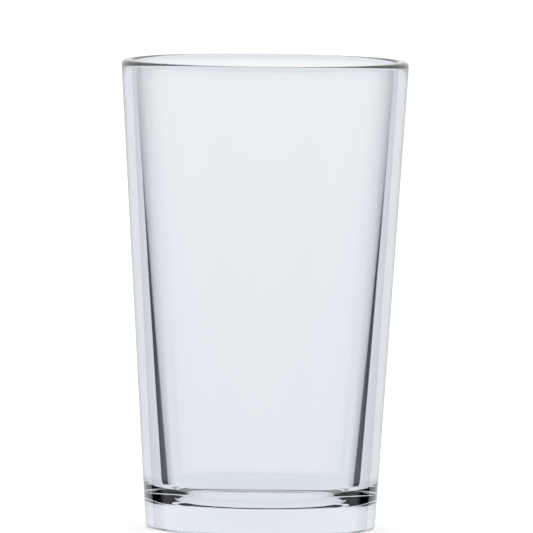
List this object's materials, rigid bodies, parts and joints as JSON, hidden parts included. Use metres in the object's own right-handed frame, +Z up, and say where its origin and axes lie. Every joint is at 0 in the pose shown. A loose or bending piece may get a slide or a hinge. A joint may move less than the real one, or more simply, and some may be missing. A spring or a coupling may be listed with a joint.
{
  "type": "pint glass",
  "caption": "Clear pressed pint tumbler: round, straight tapered sides, thick wall, heavy base and a rounded lip, open at the top, for cold drinks.",
  "frame": {"origin": "on the glass's axis, at the level of the table that it stands on", "axes": "+Z up along the axis, from the foot to the brim; X and Y are any two level directions, because the glass is round"},
  "size_m": [0.0918, 0.0918, 0.1495],
  "materials": {
    "glass": "clear pressed soda-lime glass, fire-polished"
  },
  "bodies": {
    "root": {"base": "glass", "heel": "glass", "sidewall": "glass", "rim": "glass"}
  },
  "joints": []
}
